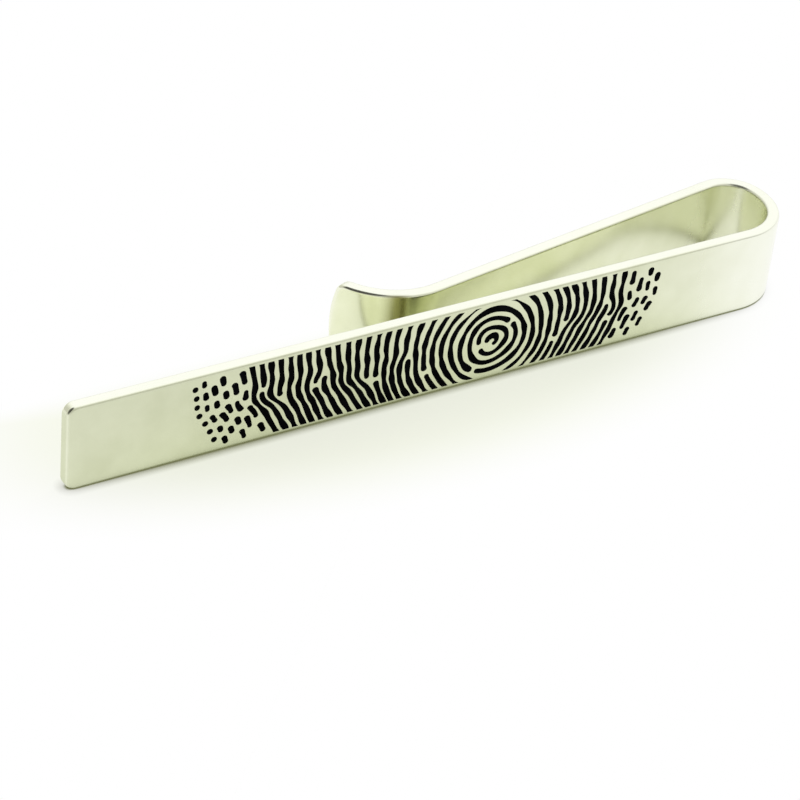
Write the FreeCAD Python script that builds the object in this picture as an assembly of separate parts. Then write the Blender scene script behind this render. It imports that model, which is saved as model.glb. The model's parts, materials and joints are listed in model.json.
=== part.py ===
import FreeCAD, Part
import math
import os

# Slide tie clip: a flat silver strip folded into a hairpin, with a blackened ridge engraving on its face.
# The clip stands on its lower long edge. X runs along the bar from its free end to the bend, Y runs from
# the engraved face towards the springy leg, and Z is up, across the width of the strip. The origin is under
# the middle of the clip, on the surface that it stands on. The strip is divided where its shape and its job
# change: front bar, return bend, clamp leg, grip bow and lead-in lip.

# Strip, millimetres
overall_length = 56.0
strip_width = 6.0
strip_thickness = 0.9
edge_radius = 0.25
bar_corner_radius = 0.75

# Spring side, millimetres and degrees: the bend is wide beside the bar and tighter beside the leg
bend_front_radius = 3.7
bend_front_turn = 100.0
bend_back_radius = 1.85
grip_reach = 24.45
grip_gap = 1.72
bow_radius = 4.4
bow_flare = 35.0
lip_length = 3.35
lip_end_radius = 8.4
lip_corner_radius = 0.8

# Engraved print, millimetres
free_end_margin = 8.4
bend_margin = 7.0
edge_margin = 0.3
core_offset = 2.4
ridge_width = 0.40
valley_width = 0.26
groove_depth = 0.16
infill_recess = 0.04

# Flow of the ridges beside the core: shares, and counts of ridges
side_stretch = 1.08
side_lean = 0.34
lean_levels = 11.0
push_levels = 8.0
inward_push = 0.3
most_widening = 1.12
left_fade_levels = 6
right_fade_levels = 4
break_every = 5

# Flecks of the fading ridges: pitch before the first row and how much each row loses, millimetres
fleck_pitch = 1.45
fleck_loss = 0.13

# Unevenness of the flecks: a share of their length, and radians for each fleck
fleck_unevenness = 0.25
fleck_turn = 3.1

# Hooked core and the rings round it, degrees
hook_start = -60.0
hook_end = 170.0
ring_opening = 45.0
ring_turn = 200.0
ring_lobes = 3

# Waves along the ridges and changes of their width: lengths in millimetres
wave_length = 4.8
jitter_length = 2.0

# Their size as a share of the valley, and how far each ridge's are shifted, radians
wave_share = 0.22
wave_shift = 0.8
jitter_share = 0.09
jitter_shift = 2.4

# Distance between the points of a ridge's side, and the step that its slope is measured over, millimetres
sample_step = 0.45
slope_step = 0.01

# Ridges that start between two others: the ridge on the core's side, the start height as a share of the
# half window, and the way that they run from there, 1 for up and -1 for down
left_inserts = [(8, 0.15, -1), (12, -0.25, 1), (16, 0.3, -1), (20, -0.1, 1)]
right_inserts = [(7, -0.1, 1), (11, 0.25, -1)]

# Sizes that follow from the ones above
front_outer_radius = bend_front_radius + strip_thickness
back_outer_radius = bend_back_radius + strip_thickness
centre_step = bend_front_radius - bend_back_radius
centre_rise = -centre_step * math.cos(math.radians(bend_front_turn))
centre_shift = centre_step * math.sin(math.radians(bend_front_turn))
bend_reach = back_outer_radius + centre_step * math.sin(math.radians(min(90.0, bend_front_turn)))
free_end_x = -overall_length / 2
bend_x = overall_length / 2 - bend_reach
front_y = -(front_outer_radius + centre_rise + back_outer_radius) / 2
back_y = front_y + strip_thickness
mid_z = strip_width / 2
ridge_pitch = ridge_width + valley_width
half_window = strip_width / 2 - edge_margin
side_pitch = side_stretch * ridge_pitch
first_side_level = math.ceil((half_window + valley_width) / ridge_pitch - 0.5)

# Middles of the bend's two arcs and of the bow, which stands off the bar by the grip gap
z_axis = FreeCAD.Vector(0, 0, 1)
front_centre = FreeCAD.Vector(bend_x, front_y + front_outer_radius, 0)
back_centre = front_centre + FreeCAD.Vector(centre_shift, centre_rise, 0)
bow_centre = FreeCAD.Vector(bend_x - grip_reach, back_y + grip_gap + strip_thickness + bow_radius, 0)

# The leg is tangent to the bend's back arc and to the bow
bow_run = back_centre.x - bow_centre.x
bow_rise = bow_centre.y - back_centre.y
centre_sum = back_outer_radius + bow_radius
leg_length = math.sqrt(bow_run**2 + bow_rise**2 - centre_sum**2)
leg_slope = math.degrees(math.atan2(bow_run, bow_rise) - math.atan2(leg_length, centre_sum))
leg_heading = 180 + leg_slope
lip_flare = bow_flare + math.degrees(lip_length / (bow_radius + strip_thickness / 2))

same_place = 1e-6


def point(x, y, z):
    return FreeCAD.Vector(x, y, z)


def outward(heading):
    """Direction out of the bend for a strip that runs with this heading, in degrees from X."""
    turn = math.radians(heading)
    return point(math.sin(turn), -math.cos(turn), 0)


def strip_section(middle, heading):
    """Sharp cross-section of the strip round the middle of its lower edge, square to its heading."""
    half = outward(heading) * strip_thickness / 2
    up = z_axis * strip_width
    corners = [middle - half, middle + half, middle + half + up, middle - half + up]
    return Part.Face(Part.makePolygon(corners + corners[:1]))


def lies_in(edge, face):
    return any(edge.isSame(other) for other in face.Edges)


def ease_edges(solid, plain_faces, walls=2):
    """Rounds the rims of the widest faces, but not the edges between them or those of plain joint faces."""
    wide = sorted(solid.Faces, key=lambda face: face.Area)[-walls:]
    rims = []
    for face in wide:
        kept = plain_faces + [other for other in wide if not other.isSame(face)]
        rims += [edge for edge in face.Edges if not any(lies_in(edge, other) for other in kept)]
    return solid.makeFillet(edge_radius, rims)


def faces_at(solid, places):
    """Faces of a solid whose middles are at the given places."""
    return [f for f in solid.Faces if any((f.CenterOfMass - place).Length < same_place for place in places)]


def turned(place, centre, angle):
    """A point turned about an upright axis by an angle in degrees."""
    turn = FreeCAD.Rotation(z_axis, angle)
    return centre + turn.multVec(place - centre)


def plain_bar():
    """Straight front bar, from its rounded free end to the start of the bend."""
    length = bend_x - free_end_x
    box = Part.makeBox(length, strip_thickness, strip_width, point(free_end_x, front_y, 0))
    across = [e for e in box.Edges if e.BoundBox.YLength > strip_thickness / 2]
    corners = [e for e in across if e.BoundBox.XMax < free_end_x + same_place]
    plate = box.makeFillet(bar_corner_radius, corners)
    joint = point(bend_x, front_y + strip_thickness / 2, mid_z)
    return ease_edges(plate, faces_at(plate, [joint]))


def swept_arc(section, middle, centre, angle):
    """Strip that turns about an upright axis by an angle in degrees, with eased edges and plain ends."""
    band = section.revolve(centre, z_axis, angle)
    return ease_edges(band, faces_at(band, [middle, turned(middle, centre, angle)]))


def bend_side(front_radius, back_radius):
    """Edges of one side of the bend in plan, from the bar round the wide arc and the tight arc to the leg."""
    front = [front_centre + outward(bend_front_turn * i / 2) * front_radius for i in range(3)]
    back_turn = leg_heading - bend_front_turn
    back = [back_centre + outward(bend_front_turn + back_turn * i / 2) * back_radius for i in range(3)]
    return [Part.Arc(*front).toShape(), Part.Arc(*back).toShape()], front[0], back[-1]


def return_bend(bar_middle, leg_middle):
    """Spring bend between the middles of its two joint faces."""
    inner, inner_start, inner_end = bend_side(bend_front_radius, bend_back_radius)
    outer, outer_start, outer_end = bend_side(front_outer_radius, back_outer_radius)
    leg_joint = Part.LineSegment(inner_end, outer_end).toShape()
    bar_joint = Part.LineSegment(outer_start, inner_start).toShape()
    outline = Part.Wire(inner + [leg_joint] + outer[::-1] + [bar_joint])
    band = Part.Face(outline).extrude(z_axis * strip_width)
    return ease_edges(band, faces_at(band, [bar_middle, leg_middle]), walls=4)


def spring_pieces():
    """Return bend, clamp leg, grip bow and lead-in lip, each starting where the one before it ends."""
    to_middle = z_axis * mid_z
    bar_middle = point(bend_x, front_y + strip_thickness / 2, mid_z)
    low_start = back_centre + outward(leg_heading) * (bend_back_radius + strip_thickness / 2)
    leg_start = low_start + to_middle
    bend = return_bend(bar_middle, leg_start)

    section = strip_section(low_start, leg_heading)
    slope = math.radians(leg_slope)
    run = point(-leg_length * math.cos(slope), -leg_length * math.sin(slope), 0)
    plate = section.extrude(run)
    leg = ease_edges(plate, faces_at(plate, [leg_start, leg_start + run]))

    bow_turn = -(leg_slope + bow_flare)
    section.translate(run)
    bow = swept_arc(section, leg_start + run, bow_centre, bow_turn)

    lip_start = turned(leg_start + run, bow_centre, bow_turn)
    section.rotate(bow_centre, z_axis, bow_turn)
    band = section.revolve(bow_centre, z_axis, bow_flare - lip_flare)
    lip = band.common(lip_outline())
    return bend, leg, bow, ease_edges(lip, faces_at(lip, [lip_start]))


def lip_outline():
    """Prism with the outline of the lip's curved end and rounded corners, square to the tip of the lip."""
    side_reach = lip_end_radius - math.sqrt(lip_end_radius**2 - mid_z**2)
    inside = 2 * lip_length
    deep = bow_radius / 2
    low_end, high_end = point(side_reach, 0, 0), point(side_reach, 0, strip_width)
    outline = Part.Wire([
        Part.LineSegment(point(inside, 0, 0), low_end).toShape(),
        Part.Arc(low_end, point(0, 0, mid_z), high_end).toShape(),
        Part.LineSegment(high_end, point(inside, 0, strip_width)).toShape(),
        Part.LineSegment(point(inside, 0, strip_width), point(inside, 0, 0)).toShape(),
    ])
    prism = Part.Face(outline).extrude(point(0, 2 * deep, 0))
    end_x = side_reach + same_place
    corners = [e for e in prism.Edges if e.BoundBox.XMax < end_x and e.BoundBox.YLength > deep]
    prism = prism.makeFillet(lip_corner_radius, corners)
    prism.translate(point(bow_centre.x, bow_centre.y - bow_radius - strip_thickness / 2 - deep, 0))
    prism.rotate(bow_centre, z_axis, -lip_flare)
    return prism


def smooth_step(value):
    """0 up to -1, 1 from 1 on, and an even climb between."""
    share = min(1.0, max(0.0, (value + 1) / 2))
    return share * share * (3 - 2 * share)


def level_radius(level):
    return (level + 0.5) * ridge_pitch


def insert_push(level, height, inserts):
    """How far a ridge moves away from the core to make room for the ridges that start between others."""
    from_rings = min(1.0, (level - first_side_level) / push_levels)
    push = 0.0
    for below, start, way in inserts:
        room = side_pitch * smooth_step(way * (height - start * half_window) / ridge_pitch)
        if level > below:
            push += room * (1 - inward_push) * math.exp((below + 1 - level) / push_levels)
        else:
            push -= room * inward_push * from_rings * math.exp((level - below) / push_levels)
    return push


def whole_ridge_x(side, level, height, inserts):
    """X of a ridge at a height above the strip's middle; side is -1 left of the core and 1 right of it."""
    bowed = side_stretch * math.sqrt(level_radius(level)**2 - height**2)
    lean = side_lean * height * min(1.0, (level - first_side_level) / lean_levels)
    wave = wave_share * valley_width * math.sin(math.tau * height / wave_length + wave_shift * level)
    return core_offset + side * (bowed + lean + insert_push(level, height, inserts)) + wave


def side_ridge_x(side, level, height, inserts):
    """X of a whole ridge, or midway between its neighbours for one that starts between them."""
    below, above = math.floor(level), math.ceil(level)
    neighbours = [whole_ridge_x(side, n, height, inserts) for n in (below, above)]
    return sum(neighbours) / 2


def half_ridge(level, height):
    turn = math.tau * height / jitter_length
    slow = math.sin(turn + jitter_shift * level)
    fast = math.sin(2 * turn - jitter_shift * level)
    return ridge_width / 2 + jitter_share * valley_width * (slow + fast)


def curve_through(points):
    curve = Part.BSplineCurve()
    curve.interpolate(points)
    return curve.toShape()


def stroke_end(first, tip, last, is_round):
    if is_round:
        return Part.Arc(first, tip, last).toShape()
    return Part.LineSegment(first, last).toShape()


def stroke_face(one_side, other_side, start_tip, end_tip, start_round, end_round):
    """Face between two side curves, closed at each end by a round tip or a straight cut."""
    return Part.Face(Part.Wire([
        curve_through(one_side),
        stroke_end(one_side[-1], end_tip, other_side[-1], end_round),
        curve_through(other_side[::-1]),
        stroke_end(other_side[0], start_tip, one_side[0], start_round),
    ]))


def side_stroke(side, level, low, high, inserts):
    """One ridge beside the core between two heights, cut straight where it meets the print's margin."""
    count = max(3, math.ceil((high - low) / sample_step) + 1)
    one_side, other_side = [], []
    for i in range(count):
        height = low + (high - low) * i / (count - 1)
        x = side_ridge_x(side, level, height, inserts)
        slope = (side_ridge_x(side, level, height + slope_step, inserts) - x) / slope_step
        half = half_ridge(level, height) * min(most_widening, math.hypot(1, slope))
        one_side.append(point(x - half, front_y, mid_z + height))
        other_side.append(point(x + half, front_y, mid_z + height))
    low_tip = (one_side[0] + other_side[0]) / 2 - z_axis * ridge_width / 2
    high_tip = (one_side[-1] + other_side[-1]) / 2 + z_axis * ridge_width / 2
    round_low = low > same_place - half_window
    round_high = high < half_window - same_place
    return stroke_face(one_side, other_side, low_tip, high_tip, round_low, round_high)


def fleck_spans(level, fade):
    """Heights between which a fading ridge shows, in more and shorter flecks from fade 1 on."""
    wanted = fleck_pitch - fleck_loss * fade
    count = max(2, math.floor(2 * half_window / wanted))
    pitch = 2 * half_window / count
    stagger = level % 2
    spans = []
    for i in range(count - stagger):
        middle = pitch * (i + (1 + stagger) / 2) - half_window
        uneven = 1 - fleck_unevenness * (1 + math.sin(jitter_shift * level + fleck_turn * i))
        half = (pitch - ridge_pitch) * uneven / 2
        spans.append((middle - half, middle + half))
    return spans


def side_field(side, edge_x, fade_levels, inserts):
    """Faces of the whole ridges on one side of the core, and of the flecks that they fade into."""
    reach = abs(edge_x - core_offset) - side_lean * half_window
    last = math.floor(reach / side_pitch - 0.5)
    last_whole = last - fade_levels
    tip_room = ridge_pitch / 2
    ridges, flecks = [], []
    for level in range(first_side_level, last + 1):
        if level > last_whole:
            for low, high in fleck_spans(level, level - last_whole):
                flecks.append(side_stroke(side, level, low, high, inserts))
        elif level % break_every == break_every // 2:
            gap = half_window / 2 * math.sin(jitter_shift * level)
            ridges.append(side_stroke(side, level, -half_window, gap - tip_room, inserts))
            ridges.append(side_stroke(side, level, gap + tip_room, half_window, inserts))
        else:
            ridges.append(side_stroke(side, level, -half_window, half_window, inserts))
    for below, start, way in inserts:
        if first_side_level <= below < last_whole:
            tip = start * half_window + way * ridge_width
            ends = sorted([tip, way * half_window])
            ridges.append(side_stroke(side, below + 0.5, ends[0], ends[1], inserts))
    return ridges, flecks


def ring_stroke(level, start_angle, end_angle):
    """Part of a ring round the core, between two angles in degrees, with round tips."""
    start, sweep = math.radians(start_angle), math.radians(end_angle - start_angle)
    count = max(5, math.ceil(level_radius(level) * sweep / sample_step) + 1)
    one_side, other_side, tips = [], [], []
    for i in range(count):
        angle = start + sweep * i / (count - 1)
        wave = wave_share * valley_width * math.sin(ring_lobes * angle + wave_shift * level)
        radius = level_radius(level) + wave
        across, up = side_stretch * radius * math.cos(angle), radius * math.sin(angle)
        away = point(math.cos(angle), 0, side_stretch * math.sin(angle)).normalize()
        forward = point(-away.z, 0, away.x)
        middle = point(core_offset + across, front_y, mid_z + up)
        half = half_ridge(level, up)
        one_side.append(middle + away * half)
        other_side.append(middle - away * half)
        tips.append((middle - forward * half, middle + forward * half))
    return stroke_face(one_side, other_side, tips[0][0], tips[-1][1], True, True)


def core_rings():
    """Hooked core and the rings round it, each open on another side, or above and below if too wide."""
    faces = [ring_stroke(0, hook_start, hook_end)]
    tallest = half_window - ridge_width / 2 - wave_share * valley_width
    for level in range(1, first_side_level):
        if level_radius(level) < tallest:
            opening = ring_opening / level
            start = ring_turn * level + opening / 2
            faces.append(ring_stroke(level, start, start + 360 - opening))
        else:
            reach = math.degrees(math.asin(tallest / level_radius(level)))
            faces.append(ring_stroke(level, -reach, reach))
            faces.append(ring_stroke(level, 180 - reach, 180 + reach))
    return faces


def between_depths(faces, near, far):
    """Solids of the faces' outlines between two depths behind the front of the bar."""
    solids = []
    for face in faces:
        base = face.copy()
        base.translate(point(0, near, 0))
        solids.append(base.extrude(point(0, far - near, 0)))
    return solids


def main():
    left_ridges, left_flecks = side_field(-1, free_end_x + free_end_margin, left_fade_levels, left_inserts)
    right_ridges, right_flecks = side_field(1, bend_x - bend_margin, right_fade_levels, right_inserts)
    print_faces = {
        "core_ring_infill": core_rings(),
        "left_ridge_infill": left_ridges,
        "right_ridge_infill": right_ridges,
        "end_fleck_infill": left_flecks + right_flecks,
    }
    strokes = [face for faces in print_faces.values() for face in faces]
    grooved = plain_bar().cut(between_depths(strokes, -groove_depth, groove_depth))
    bend, leg, bow, lip = spring_pieces()
    nodes = {
        "front_bar": grooved.Solids[0],
        "return_bend": bend,
        "clamp_leg": leg,
        "grip_bow": bow,
        "lead_in_lip": lip.Solids[0],
    }
    for name, faces in print_faces.items():
        nodes[name] = Part.makeCompound(between_depths(faces, infill_recess, groove_depth))
    os.makedirs("parts", exist_ok=True)
    for name, shape in nodes.items():
        shape.exportStep("parts/" + name + ".step")
    volume = sum(shape.Volume for shape in nodes.values())
    print("leg slope", round(leg_slope, 2), "leg length", round(leg_length, 2))
    print("lip flare", round(lip_flare, 2), "strokes", len(strokes), "volume", round(volume, 1))


main()
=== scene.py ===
"""Looks of the tie clip: spring strip, polished silver, black infill, floor, light and camera."""
import json
import math

import bmesh
import bpy
from mathutils import Matrix, Vector


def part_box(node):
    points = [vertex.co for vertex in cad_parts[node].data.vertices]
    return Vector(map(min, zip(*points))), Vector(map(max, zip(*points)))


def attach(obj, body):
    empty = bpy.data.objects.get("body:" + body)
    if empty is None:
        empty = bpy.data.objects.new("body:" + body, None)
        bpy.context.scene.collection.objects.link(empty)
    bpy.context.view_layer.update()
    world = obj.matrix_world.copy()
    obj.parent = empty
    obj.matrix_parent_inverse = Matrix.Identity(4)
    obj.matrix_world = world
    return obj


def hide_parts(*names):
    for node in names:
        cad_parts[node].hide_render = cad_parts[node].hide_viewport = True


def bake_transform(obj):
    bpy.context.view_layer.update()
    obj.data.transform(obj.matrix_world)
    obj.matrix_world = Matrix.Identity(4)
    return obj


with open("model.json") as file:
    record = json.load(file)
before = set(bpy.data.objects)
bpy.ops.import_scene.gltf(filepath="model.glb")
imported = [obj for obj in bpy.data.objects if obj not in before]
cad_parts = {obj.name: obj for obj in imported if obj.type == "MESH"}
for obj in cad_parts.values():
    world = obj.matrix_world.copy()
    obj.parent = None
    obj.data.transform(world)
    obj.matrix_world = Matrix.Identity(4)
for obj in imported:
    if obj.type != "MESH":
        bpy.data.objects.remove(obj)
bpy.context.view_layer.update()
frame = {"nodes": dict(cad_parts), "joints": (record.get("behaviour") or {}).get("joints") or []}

MM = 0.001
quarter_turn = math.radians(90)
white = (1.0, 1.0, 1.0)

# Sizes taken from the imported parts
bar_low, bar_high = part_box("front_bar")
strip_width = bar_high.z - bar_low.z
strip_thickness = bar_high.y - bar_low.y
bar_back = bar_high.y
back_centre = Vector(frame["joints"][0]["pos_m"])

# Sizes of the bend, which is wide beside the bar and tighter beside the leg, and of the spring leg
edge_radius = 0.25 * MM
bend_front_radius = 3.7 * MM
bend_front_turn = math.radians(100.0)
bend_back_radius = 1.85 * MM
grip_reach = 24.45 * MM
grip_gap = 1.72 * MM
bow_radius = 4.4 * MM
bow_flare = math.radians(35.0)
lip_length = 3.35 * MM
lip_end_radius = 8.4 * MM
lip_corner_radius = 0.8 * MM

# Fineness of the strip's mesh
row_step = 0.25 * MM
arc_step = math.radians(2.0)
column_count = 28
corner_columns = 7
rim_steps = 5
support_width = 0.03 * MM
tip_zone = 2.2 * MM
tip_rows = 14
sharp_angle = math.radians(50)
rounding_slack = 1e-6

# Silver: satin on the bar's face and end, in a darker colour that is partly painted shade, giving way on the
# way into the bend to a whiter colour that is a painted highlight on the bend's outside, painted too on the
# upper long edges; the plainer colour on the leg and in the loop; and painted shade on the bow where it
# turns into the lip.
# Each finish has two colours for its clouding. The roughness of the satin and of the bend's inside is added
# to that of the polish.
# Satin's colours: its own colour, darkened with painted shade
satin_and_shade_colours = ((0.713, 0.743, 0.543), (0.802, 0.832, 0.632))
# Painted highlight: a whiter colour for the bend's outside and the upper long edges
painted_highlight_colours = ((0.924, 0.939, 0.814), (0.949, 0.964, 0.853))
leg_colours = ((0.87, 0.89, 0.695), (0.95, 0.965, 0.80))
# Painted shade: dark colours for the bow where it turns into the lip
grip_shade_colours = ((0.34, 0.33, 0.16), (0.40, 0.39, 0.20))
polish_smooth = 0.15
polish_rough = 0.19
satin_roughness = 0.24
loop_roughness = 0.11
# Where the satin's colour, partly painted shade, gives way along x to the painted highlight on the bend
satin_start = 12 * MM
satin_end = 26 * MM
# Middle, along x from the bow's centre, and fade width of the painted shade on the bow
grip_shade_place = -2.1 * MM
grip_shade_width = 1.1 * MM

# Texture of the silver, in features per metre, and the heights of its relief
cloud_scale = 420
wave_scale = 150
grain_scale = 7000
scratch_scale = (500, 9000, 9000)
scratch_turn = math.radians(8)
wave_height = 0.006 * MM
scratch_height = 0.0004 * MM
grain_height = 0.0002 * MM

# Black infill: two colours for its blotches, its gloss, and its texture in features per metre
infill_colours = ((0.001, 0.001, 0.0015), (0.003, 0.003, 0.004))
infill_specular = 0.01
infill_smooth = 0.5
infill_rough = 0.7
infill_blotch_scale = 900
infill_grain_scale = 9000
infill_grain_height = 0.004 * MM

# Values that noise mostly lies between, and the narrower ones of the infill's blotches
noise_low = 0.3
noise_high = 0.7
blotch_low = 0.35
blotch_high = 0.65

# Camera, solved from the photograph; its lens and sensor are in millimetres, as Blender takes them
camera_azimuth = math.radians(-35.0)
camera_elevation = math.radians(33.431)
camera_roll = math.radians(6.0)
camera_distance = 175.1 * MM
camera_target = Vector((-4.328, -3.836, 0.161)) * MM
camera_lens = 122.93
camera_sensor = 36.0
camera_near = camera_distance / 20
camera_far = 10.0

# Light: a wide soft sky, full overhead and to the right and dimmer away from there, with a dark patch at the
# left front, and two soft lights at the right
sky_strength = 1.06
sky_colour = white
sky_dim_colour = (0.60, 0.60, 0.56)
sky_middle = Vector((0.45, 0.25, 0.86)).normalized()
sky_full = math.radians(38)
sky_edge = math.radians(75)
dark_azimuth = math.radians(-72)
dark_elevation = math.radians(42)
dark_depth = 0.88
dark_full = math.radians(28)
dark_edge = math.radians(40)
key_place = Vector((130, 60, 80)) * MM
key_aim = Vector((0, 0, 0))
key_size = 80 * MM
key_watts = 0.1
key_colour = white
fill_place = Vector((75, -40, 20)) * MM
fill_aim = Vector((bar_high.x, bar_low.y, 0))
fill_size = 40 * MM
fill_watts = 0.018
fill_colour = (0.75, 0.85, 1.0)

# Floor: the paper that lights the clip, and the shade and glow that are seen; the glow, below white and
# tinted near the clip, is a painted shade
floor_half = 1.5
paper_colour = (0.86, 0.86, 0.86)
floor_shade = (0.265, 0.272, 0.225)
floor_glow = (0.693, 0.705, 0.63)

# Contact shade under the clip: its glow, its reach, and how open the floor is where it is full
contact_glow = (0.10, 0.105, 0.04)
contact_reach = 0.7 * MM
contact_full = 0.4

# Oval round the clip in which the floor is not yet white but shows its painted shade, squeezed along the
# clip and cut off behind it
oval_middle = Vector((-3.5, 1, 0)) * MM
oval_squeeze = Vector((0.45, 1, 1))
oval_near = 8.3 * MM
oval_far = 15.3 * MM
behind_near = 2.5 * MM
behind_far = 6.0 * MM

# Slot between bar and leg, which stays shaded: the reach of its walls, and how open the floor is in and out
# of it
slot_reach = 6 * MM
slot_shut = 0.35
slot_open = 0.55

# Middle line of the strip, from the bar's end round the bend to the tip of the lip
half_thickness = strip_thickness / 2
front_middle_radius = bend_front_radius + half_thickness
back_middle_radius = bend_back_radius + half_thickness
bow_middle_radius = bow_radius + half_thickness
front_centre = Vector((bar_high.x, bar_back + bend_front_radius))
bow_centre = Vector((bar_high.x - grip_reach, bar_back + grip_gap + strip_thickness + bow_radius))
bow_run = back_centre.x - bow_centre.x
bow_rise = bow_centre.y - back_centre.y
tangent_radii = back_middle_radius + bow_middle_radius
leg_length = math.sqrt(bow_run ** 2 + bow_rise ** 2 - tangent_radii ** 2)
leg_slope = math.atan2(bow_run, bow_rise) - math.atan2(leg_length, tangent_radii)
leg_heading = math.pi + leg_slope
lip_flare = bow_flare + lip_length / bow_middle_radius

# Distances along that line at which its stretches end
front_end = front_middle_radius * bend_front_turn
bend_end = front_end + back_middle_radius * (leg_heading - bend_front_turn)
leg_end = bend_end + leg_length
tip_end = leg_end + bow_middle_radius * (leg_slope + lip_flare)
tip_start = tip_end - tip_zone


def heading_vectors(heading):
    """Direction of travel along the strip, and the strip's outer normal."""
    travel = Vector((math.cos(heading), math.sin(heading)))
    outward = Vector((math.sin(heading), -math.cos(heading)))
    return travel, outward


def along_strip(distance):
    """Point on the strip's middle line and the outer normal there."""
    if distance <= front_end:
        outward = heading_vectors(distance / front_middle_radius)[1]
        return front_centre + front_middle_radius * outward, outward
    if distance <= bend_end:
        outward = heading_vectors(bend_front_turn + (distance - front_end) / back_middle_radius)[1]
        return back_centre.xy + back_middle_radius * outward, outward
    if distance <= leg_end:
        travel, outward = heading_vectors(leg_heading)
        start = back_centre.xy + back_middle_radius * outward
        return start + (distance - bend_end) * travel, outward
    outward = heading_vectors(leg_heading - (distance - leg_end) / bow_middle_radius)[1]
    return bow_centre - bow_middle_radius * outward, outward


def strip_point(distance, across, depth):
    """Place on the strip: distance along it, height across it, depth out from its middle."""
    middle, outward = along_strip(distance)
    place = middle + depth * outward
    return Vector((place.x, place.y, bar_low.z + across))


def spaced(start, end, step):
    """Even values from start to end, both included, no further apart than step."""
    count = max(1, math.ceil((end - start) / step - rounding_slack))
    return [start + (end - start) * i / count for i in range(count + 1)]


def tip_distance(across):
    """Where the flat of the lip ends at a height across it: an end arc with two rounded corners."""
    half_width = strip_width / 2
    off_middle = abs(across - half_width)
    end_centre = tip_end - lip_end_radius
    corner_middle = half_width - lip_corner_radius
    to_corner = lip_end_radius - lip_corner_radius
    corner_centre = end_centre + math.sqrt(to_corner ** 2 - corner_middle ** 2)
    end_radius = lip_end_radius - edge_radius
    corner_radius = lip_corner_radius - edge_radius
    if off_middle <= corner_middle * end_radius / to_corner:
        return end_centre + math.sqrt(end_radius ** 2 - off_middle ** 2)
    rise = min(corner_radius, off_middle - corner_middle)
    return corner_centre + math.sqrt(corner_radius ** 2 - rise ** 2)


def strip_columns():
    """Heights of the columns across the flat, close together at the rounded corners of the lip."""
    corner_radius = lip_corner_radius - edge_radius
    low = [edge_radius, edge_radius + support_width]
    for i in range(len(low), corner_columns + 1):
        turn = quarter_turn * i / corner_columns
        low.append(edge_radius + corner_radius * (1 - math.cos(turn)))
    high = [strip_width - z for z in reversed(low)]
    middle = spaced(low[-1], high[0], strip_width / column_count)
    return low[:-1] + middle + high[1:]


def rim_profile():
    """Outward step and depth of the rounded long edge, from the outer face round to the inner face."""
    profile = []
    for side in (1, -1):
        for i in range(rim_steps + 1):
            turn = quarter_turn * (i if side == 1 else rim_steps - i) / rim_steps
            depth = side * (half_thickness - edge_radius + edge_radius * math.cos(turn))
            profile.append((edge_radius * math.sin(turn), depth))
    return profile


def smooth_object(name, mesh):
    """Puts a finished mesh into the scene, smooth but for its sharp edges."""
    bmesh.ops.recalc_face_normals(mesh, faces=mesh.faces)
    data = bpy.data.meshes.new(name)
    mesh.to_mesh(data)
    mesh.free()
    data.polygons.foreach_set("use_smooth", [True] * len(data.polygons))
    data.set_sharp_from_angle(angle=sharp_angle)
    piece = bpy.data.objects.new(name, data)
    bpy.context.scene.collection.objects.link(piece)
    return piece


def strip_piece(name, rows, tipped):
    """Closed piece of the strip over these distances: rounded long edges and, if tipped, the lip's end."""
    mesh = bmesh.new()
    columns = strip_columns()
    last_row, last_column = len(rows) - 1, len(columns) - 1

    def place(row, column):
        if not tipped or row <= tip_start:
            return row
        share = (row - tip_start) / tip_zone
        return tip_start + share * (tip_distance(columns[column]) - tip_start)

    def flat_face(depth):
        grid = [
            [mesh.verts.new(strip_point(place(row, j), z, depth)) for j, z in enumerate(columns)]
            for row in rows
        ]
        for i in range(last_row):
            for j in range(last_column):
                mesh.faces.new((grid[i][j], grid[i + 1][j], grid[i + 1][j + 1], grid[i][j + 1]))
        return grid

    outer = flat_face(half_thickness)
    inner = flat_face(-half_thickness)

    low_side = [(i, 0) for i in range(last_row + 1)]
    high_side = [(i, last_column) for i in range(last_row + 1)]
    tip = [(last_row, j) for j in range(last_column + 1)]
    if tipped:
        borders = [low_side + tip[1:-1] + high_side[::-1]]
    else:
        borders = [low_side, high_side[::-1]]

    profile = rim_profile()
    open_ends = []
    for border in borders:
        flat = [Vector((place(rows[i], j), columns[j])) for i, j in border]
        loops = []
        for k, (i, j) in enumerate(border):
            before, after = flat[max(k - 1, 0)], flat[min(k + 1, len(flat) - 1)]
            run = (after - before).normalized()
            if j in (0, last_column) and i != last_row:
                run = Vector((1 if j == 0 else -1, 0))
            outside = Vector((run.y, -run.x))
            loop = [outer[i][j]]
            for step, depth in profile[1:-1]:
                spot = flat[k] + step * outside
                loop.append(mesh.verts.new(strip_point(spot.x, spot.y, depth)))
            loop.append(inner[i][j])
            loops.append(loop)
        for one, other in zip(loops, loops[1:]):
            for k in range(len(one) - 1):
                mesh.faces.new((one[k], one[k + 1], other[k + 1], other[k]))
        open_ends += [loops[0], loops[-1]]

    def cap(row, low_loop, high_loop):
        mesh.faces.new(outer[row] + high_loop[1:-1] + inner[row][::-1] + low_loop[1:-1][::-1])

    cap(0, open_ends[0], open_ends[-1])
    if not tipped:
        cap(last_row, open_ends[1], open_ends[2])
    return smooth_object(name, mesh)


def material(name):
    """New node material, its nodes and links, and its shader."""
    made = bpy.data.materials.new(name)
    made.use_nodes = True
    return made, made.node_tree.nodes, made.node_tree.links, made.node_tree.nodes["Principled BSDF"]


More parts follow.
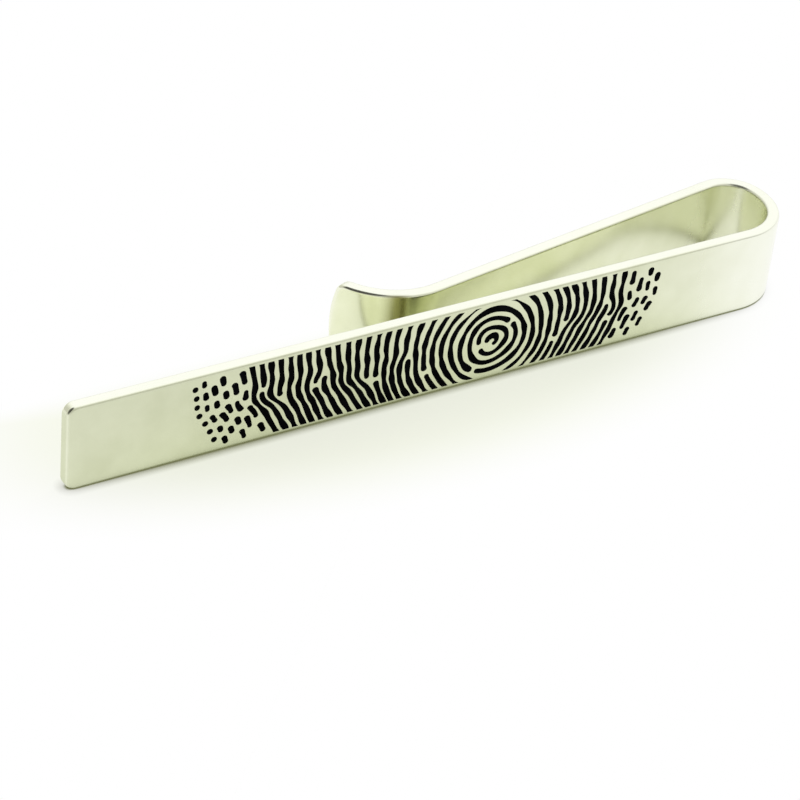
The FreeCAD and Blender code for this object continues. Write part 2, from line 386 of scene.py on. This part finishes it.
def mapped(nodes, links, vector, scale, location=(0, 0, 0), turn=0.0):
    """Vector that is scaled, then turned about Y, then moved."""
    made = nodes.new("ShaderNodeMapping")
    made.inputs["Scale"].default_value = scale
    made.inputs["Rotation"].default_value = (0, turn, 0)
    made.inputs["Location"].default_value = location
    links.new(vector, made.inputs["Vector"])
    return made.outputs["Vector"]


def length(nodes, links, vector):
    """Length of a vector."""
    made = nodes.new("ShaderNodeVectorMath")
    made.operation = "LENGTH"
    links.new(vector, made.inputs[0])
    return made.outputs["Value"]


def noise(nodes, links, coordinates, scale, detail):
    """Noise over the coordinates, at a scale in features per unit of them."""
    texture = nodes.new("ShaderNodeTexNoise")
    texture.inputs["Scale"].default_value = scale
    texture.inputs["Detail"].default_value = detail
    links.new(coordinates, texture.inputs["Vector"])
    return texture.outputs["Fac"]


def ramp(nodes, links, factor, low, high, low_colour, high_colour):
    """Colour ramp between two stops."""
    made = nodes.new("ShaderNodeValToRGB")
    first, second = made.color_ramp.elements
    first.position, second.position = low, high
    first.color, second.color = (*low_colour, 1), (*high_colour, 1)
    links.new(factor, made.inputs["Fac"])
    return made.outputs["Color"]


def spread(nodes, links, factor, low, high):
    """Noise turned into a value between low and high."""
    made = nodes.new("ShaderNodeMapRange")
    made.inputs["From Min"].default_value = noise_low
    made.inputs["From Max"].default_value = noise_high
    made.inputs["To Min"].default_value = low
    made.inputs["To Max"].default_value = high
    links.new(factor, made.inputs["Value"])
    return made.outputs["Result"]


def smooth_step(nodes, links, value, start, end):
    """0 at start, 1 at end, eased between."""
    made = nodes.new("ShaderNodeMapRange")
    made.interpolation_type = "SMOOTHSTEP"
    made.inputs["From Min"].default_value = start
    made.inputs["From Max"].default_value = end
    links.new(value, made.inputs["Value"])
    return made.outputs["Result"]


def bump(nodes, links, height, distance, before=None):
    """Bump of a real height in metres, over an earlier bump if there is one."""
    made = nodes.new("ShaderNodeBump")
    made.inputs["Strength"].default_value = 1.0
    made.inputs["Distance"].default_value = distance
    links.new(height, made.inputs["Height"])
    if before:
        links.new(before, made.inputs["Normal"])
    return made.outputs["Normal"]


def combine(nodes, links, operation, first, second, third=None):
    """Result of a Math node, such as a product or the larger value; each value is an output or a number."""
    made = nodes.new("ShaderNodeMath")
    made.operation = operation
    for socket, value in zip(made.inputs, (first, second, third)):
        if isinstance(value, float):
            socket.default_value = value
        elif value:
            links.new(value, socket)
    return made.outputs[0]


def mix_colours(nodes, links, factor, first, second):
    """First colour at 0, second at 1."""
    made = nodes.new("ShaderNodeMix")
    made.data_type = "RGBA"
    sockets = {socket.name: socket for socket in made.inputs if socket.enabled}
    for name, value in (("Factor", factor), ("A", first), ("B", second)):
        links.new(value, sockets[name])
    return next(socket for socket in made.outputs if socket.enabled)


def mix_shaders(nodes, links, factor, first, second):
    """First shader at 0, second at 1."""
    made = nodes.new("ShaderNodeMixShader")
    links.new(factor, made.inputs[0])
    links.new(first.outputs[0], made.inputs[1])
    links.new(second.outputs[0], made.inputs[2])
    return made


def out_from_loop(nodes, links, coordinates):
    """Distance from the loop's middle line, which lies between bar and leg and ends at the bend's centre."""
    to_centre = (-front_centre.x, -front_centre.y, 0)
    from_centre = mapped(nodes, links, coordinates, (1, 1, 0), to_centre)
    # Before the centre x counts as 0. The bound on y is a metre off, so y stays as it is.
    lower_bound = (0, -1, 0)
    past_centre = nodes.new("ShaderNodeVectorMath")
    past_centre.operation = "MAXIMUM"
    past_centre.inputs[1].default_value = lower_bound
    links.new(from_centre, past_centre.inputs[0])
    return length(nodes, links, past_centre.outputs["Vector"])


def finish_shares(nodes, links, coordinates):
    """Shares of the satin with its painted shade, the painted highlight, the bow's painted shade and the
    less polished inside of the bend.
    """
    place = nodes.new("ShaderNodeSeparateXYZ")
    links.new(coordinates, place.inputs["Vector"])
    x, y, z = place.outputs
    out = out_from_loop(nodes, links, coordinates)
    grip_shade_x = bow_centre.x + grip_shade_place

    def step(value, start, end):
        return smooth_step(nodes, links, value, start, end)

    def both(first, second):
        return combine(nodes, links, "MULTIPLY", first, second)

    def either(first, second):
        return combine(nodes, links, "MAXIMUM", first, second)

    # Satin on the bar's face and end, its colour partly painted shade
    on_face = both(step(y, bar_low.y + edge_radius / 2, bar_low.y), step(x, satin_end, satin_start))
    on_end = step(x, bar_low.x + edge_radius / 2, bar_low.x)
    satin = either(on_face, on_end)

    # Painted highlight on the bend's outside and on the upper long edges
    near_bend = step(x, satin_start, satin_end)
    round_bend = both(step(out, bend_front_radius, bend_front_radius + strip_thickness), near_bend)
    on_rim = step(z, bar_high.z - edge_radius / 2, bar_high.z)
    bright = either(round_bend, on_rim)
    inside_bend = combine(nodes, links, "SUBTRACT", near_bend, round_bend)

    # Painted shade on the bow where it turns into the lip, beside the grip
    fades_right = step(x, grip_shade_x + grip_shade_width, grip_shade_x)
    fades_left = step(x, grip_shade_x - grip_shade_width, grip_shade_x)
    behind_bar = step(y, bar_back, bar_back + grip_gap / 2)
    grip_shade = both(both(fades_right, fades_left), behind_bar)
    return satin, bright, grip_shade, inside_bend


def polished_silver():
    """Silver in its finishes, with painted shade and highlight, a little clouding, slow waves, fine
    scratches and grain.
    """
    made, nodes, links, shader = material("polished_silver")
    coordinates = nodes.new("ShaderNodeTexCoord").outputs["Object"]
    drawn_out = mapped(nodes, links, coordinates, scratch_scale, turn=scratch_turn)
    clouding = noise(nodes, links, coordinates, cloud_scale, detail=3)
    waves = noise(nodes, links, coordinates, wave_scale, detail=1)
    scratches = noise(nodes, links, drawn_out, scale=1, detail=2)
    grain = noise(nodes, links, coordinates, grain_scale, detail=3)
    satin, bright, grip_shade, inside_bend = finish_shares(nodes, links, coordinates)

    def clouded(colours):
        return ramp(nodes, links, clouding, noise_low, noise_high, *colours)

    colour = clouded(leg_colours)
    # Over the plain colour: painted shade on the bow, the painted highlight, and the satin's partly shaded
    # colour
    for share, colours in ((grip_shade, grip_shade_colours), (bright, painted_highlight_colours), (satin, satin_and_shade_colours)):
        colour = mix_colours(nodes, links, share, colour, clouded(colours))
    roughness = spread(nodes, links, clouding, polish_smooth, polish_rough)
    for share, added in ((satin, satin_roughness), (inside_bend, loop_roughness)):
        roughness = combine(nodes, links, "MULTIPLY_ADD", share, added, roughness)
    rolled = bump(nodes, links, waves, wave_height)
    lined = bump(nodes, links, scratches, scratch_height, rolled)
    shader.inputs["Metallic"].default_value = 1.0
    links.new(colour, shader.inputs["Base Color"])
    links.new(roughness, shader.inputs["Roughness"])
    links.new(bump(nodes, links, grain, grain_height, lined), shader.inputs["Normal"])
    return made


def black_infill():
    """Matt black in the engraving, slightly grainy."""
    made, nodes, links, shader = material("black_infill_paint")
    coordinates = nodes.new("ShaderNodeTexCoord").outputs["Object"]
    grain = noise(nodes, links, coordinates, infill_grain_scale, detail=4)
    blotch = noise(nodes, links, coordinates, infill_blotch_scale, detail=2)
    colour = ramp(nodes, links, blotch, blotch_low, blotch_high, *infill_colours)
    shader.inputs["Specular IOR Level"].default_value = infill_specular
    links.new(colour, shader.inputs["Base Color"])
    links.new(spread(nodes, links, grain, infill_smooth, infill_rough), shader.inputs["Roughness"])
    links.new(bump(nodes, links, grain, infill_grain_height), shader.inputs["Normal"])
    return made


def dress(node, finish):
    """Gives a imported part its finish."""
    slots = frame["nodes"][node].data.materials
    for i in range(len(slots)):
        slots[i] = finish


def background_rays(nodes, links):
    """1 for rays that show the background: straight to the camera, off metal or through glass."""
    path = nodes.new("ShaderNodeLightPath")
    total = path.outputs["Is Camera Ray"]
    for other in ("Is Glossy Ray", "Is Transmission Ray"):
        total = combine(nodes, links, "MAXIMUM", total, path.outputs[other])
    return total


def openness(nodes, reach):
    """1 where nothing stands within reach, and less the more is shut in."""
    made = nodes.new("ShaderNodeAmbientOcclusion")
    made.inputs["Distance"].default_value = reach
    return made.outputs["AO"]


def faded_to_white(nodes, links):
    """1 where the floor is white: outside the oval or behind the clip, but not in the slot."""
    coordinates = nodes.new("ShaderNodeTexCoord").outputs["Object"]
    place = nodes.new("ShaderNodeSeparateXYZ")
    links.new(coordinates, place.inputs["Vector"])
    on_oval = mapped(nodes, links, coordinates, oval_squeeze, -oval_middle * oval_squeeze)
    outside = smooth_step(nodes, links, length(nodes, links, on_oval), oval_near, oval_far)
    behind = smooth_step(nodes, links, place.outputs["Y"], behind_near, behind_far)
    unshut = smooth_step(nodes, links, openness(nodes, slot_reach), slot_shut, slot_open)
    return combine(nodes, links, "MULTIPLY", combine(nodes, links, "MAXIMUM", outside, behind), unshut)


def floor_paper():
    """Paper that lights the clip evenly, and is seen with the clip's real and painted shade on it and white
    further off.
    """
    made, nodes, links = material("floor_paper")[:3]
    nodes.clear()
    paper = nodes.new("ShaderNodeBsdfDiffuse")
    paper.inputs["Color"].default_value = (*paper_colour, 1)
    shaded = nodes.new("ShaderNodeBsdfDiffuse")
    shaded.inputs["Color"].default_value = (*floor_shade, 1)
    glow = nodes.new("ShaderNodeEmission")
    contact = ramp(nodes, links, openness(nodes, contact_reach), contact_full, 1, contact_glow, floor_glow)
    links.new(contact, glow.inputs["Color"])
    near = nodes.new("ShaderNodeAddShader")
    links.new(shaded.outputs[0], near.inputs[0])
    links.new(glow.outputs[0], near.inputs[1])
    far = nodes.new("ShaderNodeEmission")
    far.inputs["Color"].default_value = (*white, 1)
    # Painted shade near the clip, white further off
    background = mix_shaders(nodes, links, faded_to_white(nodes, links), near, far)
    surface = mix_shaders(nodes, links, background_rays(nodes, links), paper, background)
    links.new(surface.outputs[0], nodes.new("ShaderNodeOutputMaterial").inputs["Surface"])
    return made


def floor():
    """Wide pale floor that keeps the clip's shadow."""
    half = floor_half
    corners = [(-half, -half, 0), (half, -half, 0), (half, half, 0), (-half, half, 0)]
    data = bpy.data.meshes.new("floor")
    data.from_pydata(corners, [], [(0, 1, 2, 3)])
    data.materials.append(floor_paper())
    piece = bpy.data.objects.new("floor", data)
    bpy.context.scene.collection.objects.link(piece)


def direction_at(azimuth, elevation):
    """Direction from the clip, with the azimuth counted from its front to the right."""
    return Vector((
        math.sin(azimuth) * math.cos(elevation),
        -math.cos(azimuth) * math.cos(elevation),
        math.sin(elevation),
    ))


def world_light():
    """Soft sky with its dark patch, and plain white where the camera looks past the floor."""
    world = bpy.data.worlds.new("studio")
    world.use_nodes = True
    nodes, links = world.node_tree.nodes, world.node_tree.links
    nodes.clear()
    direction = nodes.new("ShaderNodeTexCoord").outputs["Generated"]

    def within(middle, full, edge):
        facing = nodes.new("ShaderNodeVectorMath")
        facing.operation = "DOT_PRODUCT"
        facing.inputs[1].default_value = middle
        links.new(direction, facing.inputs[0])
        return smooth_step(nodes, links, facing.outputs["Value"], math.cos(edge), math.cos(full))

    bright = within(sky_middle, sky_full, sky_edge)
    dark = within(direction_at(dark_azimuth, dark_elevation), dark_full, dark_edge)
    sky = nodes.new("ShaderNodeBackground")
    links.new(ramp(nodes, links, bright, 0, 1, sky_dim_colour, sky_colour), sky.inputs["Color"])
    strength = combine(nodes, links, "MULTIPLY_ADD", dark, -sky_strength * dark_depth, sky_strength)
    links.new(strength, sky.inputs["Strength"])
    seen = nodes.new("ShaderNodeBackground")
    seen.inputs["Color"].default_value = (*white, 1)
    straight = nodes.new("ShaderNodeLightPath").outputs["Is Camera Ray"]
    surround = mix_shaders(nodes, links, straight, sky, seen)
    links.new(surround.outputs[0], nodes.new("ShaderNodeOutputWorld").inputs["Surface"])
    bpy.context.scene.world = world


def softbox(name, place, aim, size, watts, colour):
    """Square soft light that looks at a point and is not mirrored in the silver."""
    lamp = bpy.data.lights.new(name, "AREA")
    lamp.size = size
    lamp.energy = watts
    lamp.color = colour
    piece = bpy.data.objects.new(name, lamp)
    piece.location = place
    piece.rotation_mode = "QUATERNION"
    piece.rotation_quaternion = (aim - place).to_track_quat("-Z", "Y")
    piece.visible_camera = False
    piece.visible_glossy = False
    bpy.context.scene.collection.objects.link(piece)


def camera():
    """Camera at the photograph's viewing angle."""
    back = direction_at(camera_azimuth, camera_elevation)
    right = Vector((math.cos(camera_azimuth), math.sin(camera_azimuth), 0))
    up = back.cross(right)
    rolled_right = math.cos(camera_roll) * right + math.sin(camera_roll) * up
    rolled_up = math.cos(camera_roll) * up - math.sin(camera_roll) * right
    data = bpy.data.cameras.new("photo_camera")
    data.sensor_width = camera_sensor
    data.lens = camera_lens
    data.clip_start = camera_near
    data.clip_end = camera_far
    piece = bpy.data.objects.new("photo_camera", data)
    turned = Matrix((rolled_right, rolled_up, back)).transposed().to_4x4()
    piece.matrix_world = Matrix.Translation(camera_target + back * camera_distance) @ turned
    bpy.context.scene.collection.objects.link(piece)
    bpy.context.scene.camera = piece


# Finishes
silver = polished_silver()
ink = black_infill()

# Bend between bar and leg, which flexes in the real clip; this piece is not attached to either
bend_rows = spaced(0, front_end, front_middle_radius * arc_step)
bend_rows += spaced(front_end, bend_end, back_middle_radius * arc_step)[1:]
bend = strip_piece("return_bend_strip", bend_rows, tipped=False)
bend.data.materials.append(silver)
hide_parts("return_bend")
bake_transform(bend)

# Spring leg with its bow and lip
leg_rows = spaced(bend_end, leg_end, row_step)
bow_rows = spaced(leg_end, tip_start, bow_middle_radius * arc_step)
lip_rows = spaced(tip_start, tip_end, tip_zone / tip_rows)
leg = strip_piece("spring_leg", leg_rows + bow_rows[1:] + lip_rows[1:], tipped=True)
leg.data.materials.append(silver)
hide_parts("clamp_leg", "grip_bow", "lead_in_lip")
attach(leg, "leg")

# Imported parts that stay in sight
dress("front_bar", silver)
for node in ("core_ring_infill", "left_ridge_infill", "right_ridge_infill", "end_fleck_infill"):
    dress(node, ink)

# Stage
floor()
world_light()
softbox("key_light", key_place, key_aim, key_size, key_watts, key_colour)
softbox("fill_light", fill_place, fill_aim, fill_size, fill_watts, fill_colour)
camera()
bpy.context.scene.view_settings.view_transform = "Standard"
